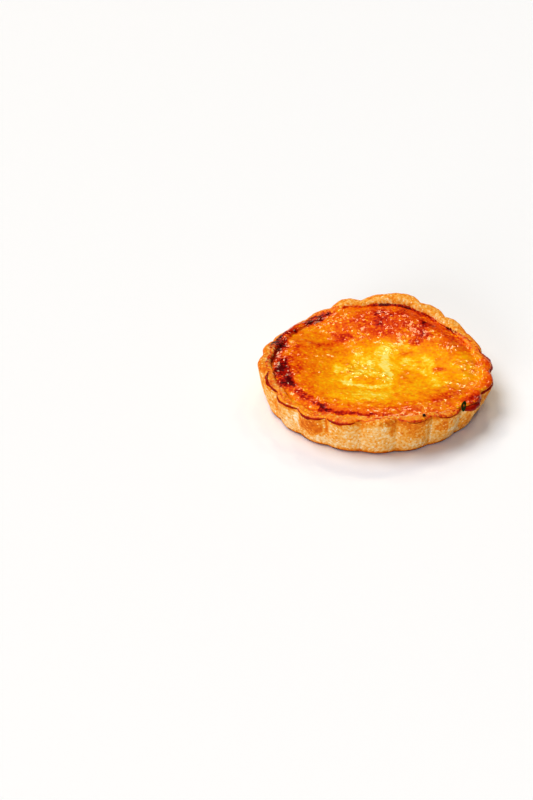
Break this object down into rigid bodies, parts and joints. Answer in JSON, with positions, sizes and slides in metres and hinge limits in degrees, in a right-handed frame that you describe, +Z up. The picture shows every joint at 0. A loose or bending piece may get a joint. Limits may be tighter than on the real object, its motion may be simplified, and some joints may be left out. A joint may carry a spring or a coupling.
{
  "type": "elderflower tartlet",
  "caption": "Round open tartlet: a fluted shortcrust case with an uneven rim, filled to the brim with browned baked custard.",
  "frame": {"origin": "centre of the flat foot, on the surface that the tartlet stands on", "axes": "+Z up out of the filling; -Y is the side that faced the camera, +X its right"},
  "size_m": [0.0924, 0.0931, 0.0189],
  "materials": {
    "shortcrust": "dry, pale golden baked shortcrust, browner at the rim",
    "baked_custard": "moist baked custard skin, yellow in the middle, browned and caramelised round the edge"
  },
  "bodies": {
    "root": {"pastry_case": "shortcrust", "custard": "baked_custard"}
  },
  "joints": []
}
